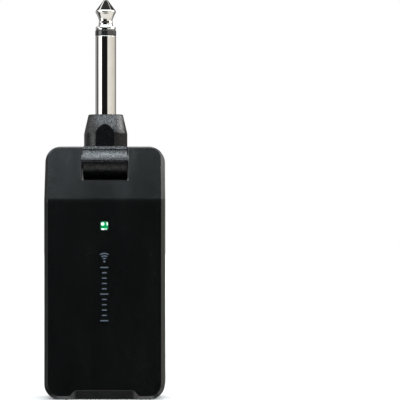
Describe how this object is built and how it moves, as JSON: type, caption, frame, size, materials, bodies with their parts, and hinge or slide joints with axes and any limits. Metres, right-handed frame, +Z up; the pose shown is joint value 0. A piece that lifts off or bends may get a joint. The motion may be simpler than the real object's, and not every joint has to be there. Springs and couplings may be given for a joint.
{
  "type": "wireless guitar transmitter",
  "caption": "Flat black wireless guitar transmitter with a folding 6.35 mm plug on a hinge, a status light, a power slider, a pairing button and a charging port.",
  "frame": {"origin": "centre of the device's bottom face, midway between its front and back faces", "axes": "+Z up the length of the device towards the plug, +X to the right seen from the front, the front face towards -Y"},
  "size_m": [0.0368, 0.015, 0.1226],
  "materials": {
    "case_black": "fine moulded grain, satin black",
    "nylon_black": "coarser moulded grain, satin black",
    "nickel": "polished nickel plate",
    "insulator_black": "glossy",
    "insulator_natural": "natural polymer",
    "led_green": "clear green window, lit",
    "ceramic_white": "smooth",
    "board_green": "solder mask",
    "tin_steel": "tin plate",
    "chip_black": "moulded epoxy",
    "ferrite": "ferrite",
    "tantalum": "moulded epoxy",
    "pouch_foil": "laminated foil",
    "foam": "closed-cell foam",
    "kapton": "polyimide tape",
    "lead_red": "insulated wire",
    "lead_black": "insulated wire",
    "lead_white": "insulated wire",
    "screw_steel": "zinc plated",
    "bush_polymer": "acetal",
    "tinned_brass": "tinned"
  },
  "bodies": {
    "case": {"front_cover": "case_black", "rear_cover": "case_black", "led_window": "led_green", "status_led": "ceramic_white", "main_board": "board_green", "rf_shield_can": "tin_steel", "radio_chip": "chip_black", "antenna_chip": "ceramic_white", "audio_codec_chip": "chip_black", "charger_chip": "chip_black", "crystal": "tin_steel", "inductor": "ferrite", "tantalum_capacitor": "tantalum", "usb_c_shell": "tin_steel", "usb_c_tongue": "chip_black", "power_switch_body": "tin_steel", "tact_switch_body": "chip_black", "battery_cell": "pouch_foil", "battery_pad": "foam", "battery_protection_board": "kapton", "battery_connector": "ceramic_white", "battery_lead_positive": "lead_red", "battery_lead_negative": "lead_black", "case_screw_lower_left": "screw_steel", "case_screw_lower_right": "screw_steel", "case_screw_upper_left": "screw_steel", "case_screw_upper_right": "screw_steel", "board_screw_left": "screw_steel", "board_screw_right": "screw_steel", "hinge_bush_left": "bush_polymer", "hinge_bush_right": "bush_polymer", "spring_washer_left": "screw_steel", "spring_washer_right": "screw_steel", "tip_wire_case": "lead_white", "sleeve_wire_case": "lead_black"},
    "plug": {"plug_housing": "nylon_black", "knuckle_cap": "nylon_black", "cap_screw_left": "screw_steel", "cap_screw_right": "screw_steel", "hinge_spindle_left": "screw_steel", "hinge_spindle_right": "screw_steel", "spindle_clip_left": "screw_steel", "spindle_clip_right": "screw_steel", "plug_sleeve": "nickel", "tip_insulator_ring": "insulator_black", "tip_insulator_tube": "insulator_natural", "plug_tip": "nickel", "sleeve_lug": "tinned_brass", "plug_nut": "screw_steel", "insulating_washer": "insulator_natural", "tip_lug": "tinned_brass", "tip_wire_hinge": "lead_white", "sleeve_wire_hinge": "lead_black"},
    "power_slider": {"power_slider": "nylon_black", "power_switch_lever": "chip_black"},
    "pair_button": {"pair_button": "nylon_black", "tact_switch_stem": "chip_black"}
  },
  "joints": [
    {"name": "plug_hinge", "type": "hinge", "parent": "case", "child": "plug", "pos_m": [0, 0.00115, 0.07275], "axis": [1, 0, 0], "range_deg": [-90, 90]},
    {"name": "power_slide", "type": "slide", "parent": "case", "child": "power_slider", "axis": [0, 0, 1], "range_m": [0, 0.002]},
    {"name": "pair_press", "type": "slide", "parent": "case", "child": "pair_button", "axis": [1, 0, 0], "range_m": [0, 0.00035], "stiffness_N_per_m": 800, "springref_m": -0.0003}
  ]
}
